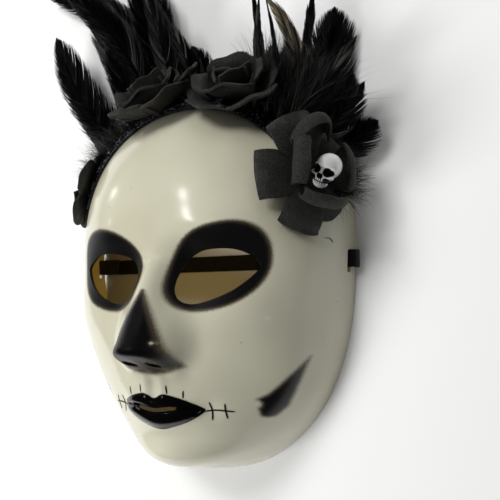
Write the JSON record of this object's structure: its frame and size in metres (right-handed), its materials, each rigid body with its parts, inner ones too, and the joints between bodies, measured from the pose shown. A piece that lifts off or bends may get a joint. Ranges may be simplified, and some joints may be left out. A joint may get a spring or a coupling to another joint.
{
  "type": "catrina mask",
  "caption": "Full-face costume mask painted as a skull, a moulded half-shell with foam flowers, feathers and a skull bead along its forehead edge and an elastic strap.",
  "frame": {"origin": "middle of the footprint of the mask and its headdress, without the strap, on the surface it lies on", "axes": "+X to the viewer's right, +Y from chin to forehead, +Z out of the face"},
  "size_m": [0.25, 0.3386, 0.0954],
  "materials": {
    "painted_mask_plastic": "glossy ivory paint with matte black sockets and glossy black lips, amber inside",
    "glitter_trim": "black trim covered with coarse glitter",
    "foam_sheet": "matte black foam sheet",
    "plated_bead": "silver coloured casting with blackened hollows",
    "braided_elastic": "flat braided black elastic",
    "dyed_feather": "glossy black dyed feather"
  },
  "bodies": {
    "root": {"mask_shell": "painted_mask_plastic", "glitter_band": "glitter_trim", "skull_flower": "foam_sheet", "forehead_rose_left": "foam_sheet", "forehead_rose_right": "foam_sheet", "temple_flower": "foam_sheet", "skull_bead": "plated_bead", "elastic_strap": "braided_elastic", "feather_left_01": "dyed_feather", "feather_left_02": "dyed_feather", "feather_left_03": "dyed_feather", "feather_left_04": "dyed_feather", "feather_left_05": "dyed_feather", "feather_left_06": "dyed_feather", "feather_left_07": "dyed_feather", "feather_left_08": "dyed_feather", "feather_left_09": "dyed_feather", "feather_left_10": "dyed_feather", "feather_left_11": "dyed_feather", "feather_left_12": "dyed_feather", "feather_left_13": "dyed_feather", "feather_right_01": "dyed_feather", "feather_right_02": "dyed_feather", "feather_right_03": "dyed_feather", "feather_right_04": "dyed_feather", "feather_right_05": "dyed_feather", "feather_right_06": "dyed_feather", "feather_right_07": "dyed_feather", "feather_right_08": "dyed_feather", "feather_right_09": "dyed_feather", "feather_right_10": "dyed_feather", "feather_right_11": "dyed_feather", "feather_right_12": "dyed_feather", "feather_right_13": "dyed_feather", "feather_right_14": "dyed_feather"}
  },
  "joints": []
}
